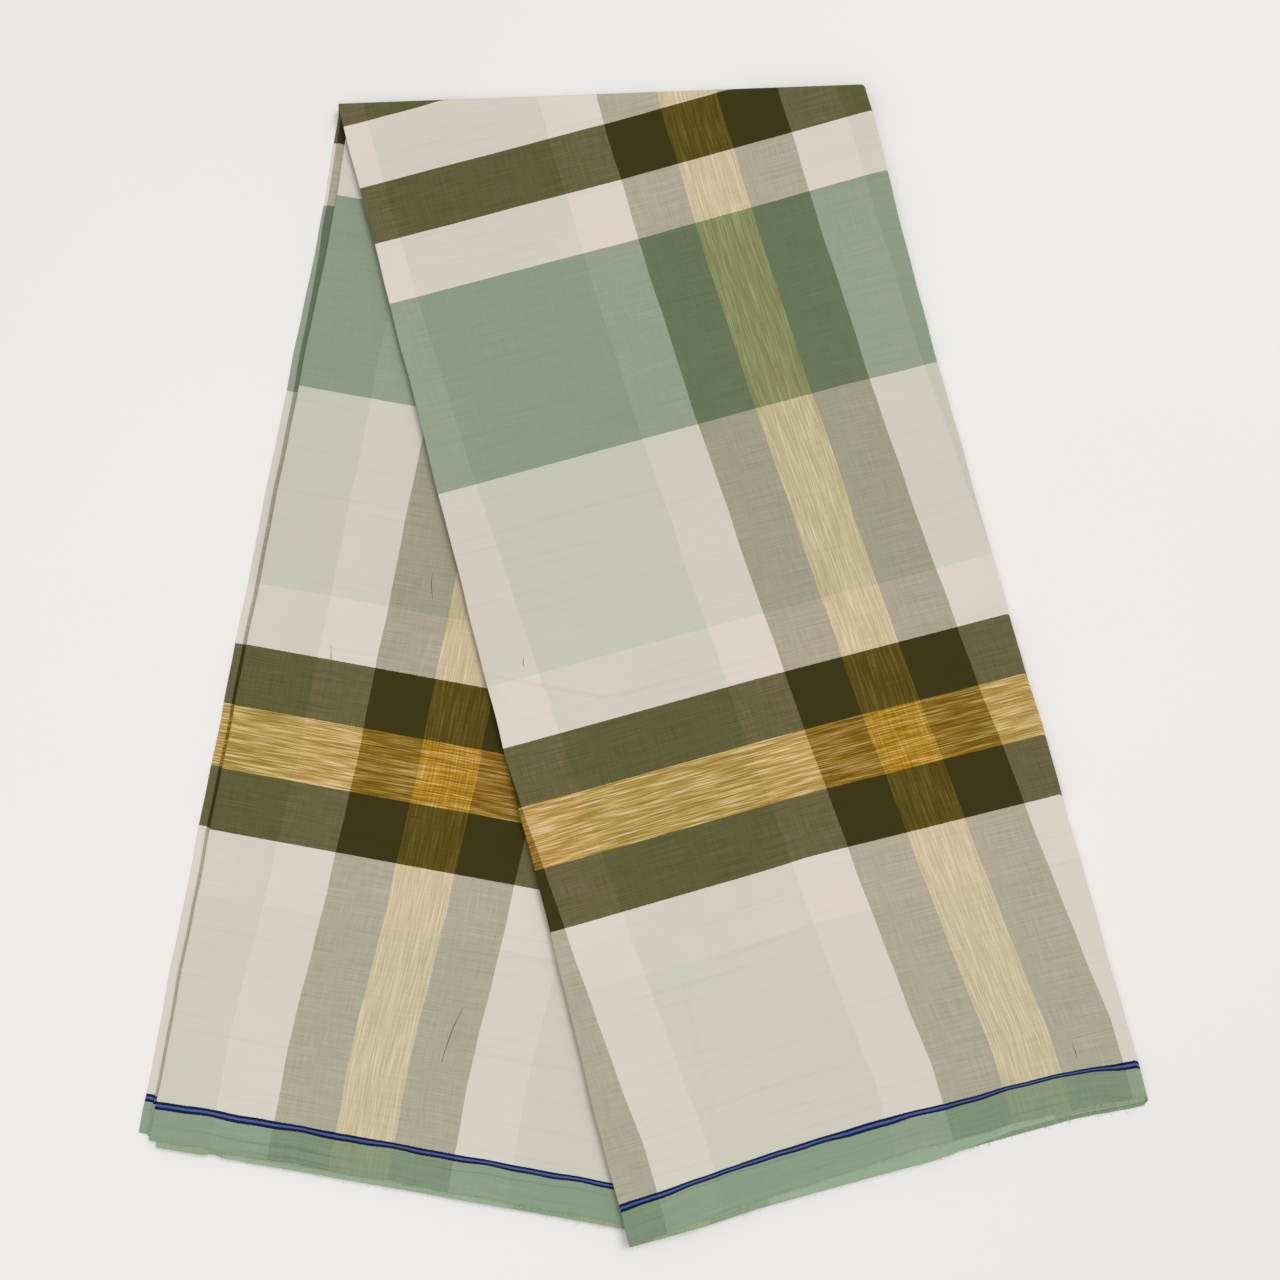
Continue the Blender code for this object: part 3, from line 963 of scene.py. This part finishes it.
def threadMaterial(name, pale, dark):
    material = bpy.data.materials.new(name)
    material.use_nodes = True
    nodes = Nodes(material)
    place = nodes.add("ShaderNodeTexCoord").outputs["Object"]
    tint = nodes.noise(place, 2.0, threadFinish["tintPerMetre"])
    colour = nodes.ramp(tint, list(zip(threadFinish["tintStops"], (dark, pale))))
    nodes.link(colour, nodes.shader.inputs["Base Color"])
    nodes.shader.inputs["Roughness"].default_value = threadFinish["roughness"]
    nodes.shader.inputs["Sheen Weight"].default_value = threadFinish["sheen"]
    return material


wrappedCloth.data.materials.append(clothMaterial("plaid_cotton", "plaid"))
innerSheets.data.materials.append(clothMaterial("inner_cotton", "inner"))
borderCotton = clothMaterial("border_cotton", "border")
innerBorderCotton = clothMaterial("inner_border_cotton", "innerBorder")
for piece in (leftBorder, rightBorder):
    piece.data.materials.append(borderCotton)
for piece in (leftInnerBorder, rightInnerBorder):
    piece.data.materials.append(innerBorderCotton)
yarnEnds = threadMaterial("yarn_ends", threadFinish["fringePale"], threadFinish["fringeGreen"])
for piece in (leftFringe, rightFringe):
    piece.data.materials.append(yarnEnds)
# dark strands, the one on the left half's crease being painted shadow
strandPieceAndCreaseShade.data.materials.append(
    threadMaterial("dark_strand_and_crease_shade", threadFinish["strandAndShadePale"], threadFinish["strandAndShadeDark"]))
print("materials made")

# Frame and sheets: the pieces join the root body and the frame parts they replace are hidden
for piece in (wrappedCloth, innerSheets, *borders, leftFringe, rightFringe, strandPieceAndCreaseShade):
    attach(piece, "root")
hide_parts("left_half_front", "left_half_back", "right_half_front", "right_half_back",
            "ridge_fold")
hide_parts("hidden_layers")
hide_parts("left_hem_border")
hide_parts("right_hem_border")
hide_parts("left_hem_fringe")
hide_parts("right_hem_fringe")

# Floor, lights and camera
studio = {
    "floorColour": (0.80, 0.79, 0.77),
    "floorShade": 0.985,
    "floorTintPerMetre": 3.0,
    "floorTintStops": (0.3, 0.7),
    "floorRoughness": 0.7,
    "floorReach": 12.0,
    "worldLight": 0.47,
    "keyPlace": (2.40, 2.60, 5.80),
    "keySize": 3.2,
    "keyPower": 252.0,
    "fillPlace": (-0.45, -0.48, 1.20),
    "fillSize": 0.9,
    "fillPower": 3.5,
    "cameraPlace": (-0.00256, -0.03151, 0.7087),
    "cameraPitch": 3.2,
    "cameraLens": 36.0,
    "cameraSensor": 36.0,
    "cameraNear": 0.01,
}


def floorMaterial():
    material = bpy.data.materials.new("pale_floor")
    material.use_nodes = True
    nodes = Nodes(material)
    place = nodes.add("ShaderNodeTexCoord").outputs["Object"]
    tint = nodes.noise(place, 2.0, studio["floorTintPerMetre"])
    low = tuple(part * studio["floorShade"] for part in studio["floorColour"])
    colour = nodes.ramp(tint, list(zip(studio["floorTintStops"], (low, studio["floorColour"]))))
    nodes.link(colour, nodes.shader.inputs["Base Color"])
    nodes.shader.inputs["Roughness"].default_value = studio["floorRoughness"]
    return material


floorMesh = bpy.data.meshes.new("floor")
reach = studio["floorReach"]
floorCorners = [(-reach, -reach, 0), (reach, -reach, 0), (reach, reach, 0), (-reach, reach, 0)]
floorMesh.from_pydata(floorCorners, [], [(0, 1, 2, 3)])
floor = bpy.data.objects.new("floor", floorMesh)
bpy.context.scene.collection.objects.link(floor)
floorMesh.materials.append(floorMaterial())


def areaLight(name, place, size, power):
    light = bpy.data.lights.new(name, "AREA")
    light.size = size
    light.energy = power
    obj = bpy.data.objects.new(name, light)
    bpy.context.scene.collection.objects.link(obj)
    obj.location = place
    aim = -np.array(place)
    obj.rotation_euler = (
        math.atan2(math.hypot(aim[0], aim[1]), -aim[2]),
        0,
        math.atan2(aim[1], aim[0]) - math.pi / 2,
    )
    return obj


areaLight("key_light", studio["keyPlace"], studio["keySize"], studio["keyPower"])
areaLight("fill_light", studio["fillPlace"], studio["fillSize"], studio["fillPower"])
world = bpy.data.worlds.new("studio_world")
world.use_nodes = True
world.node_tree.nodes["Background"].inputs[0].default_value = (1.0, 1.0, 1.0, 1.0)
world.node_tree.nodes["Background"].inputs[1].default_value = studio["worldLight"]
bpy.context.scene.world = world
bpy.context.scene.view_settings.view_transform = "Standard"

camera = bpy.data.objects.new("camera", bpy.data.cameras.new("camera"))
camera.data.lens = studio["cameraLens"]
camera.data.sensor_width = studio["cameraSensor"]
camera.data.clip_start = studio["cameraNear"]
camera.location = studio["cameraPlace"]
camera.rotation_euler = (math.radians(studio["cameraPitch"]), 0, 0)
bpy.context.scene.collection.objects.link(camera)
bpy.context.scene.camera = camera
print("floor, lights and camera ready")
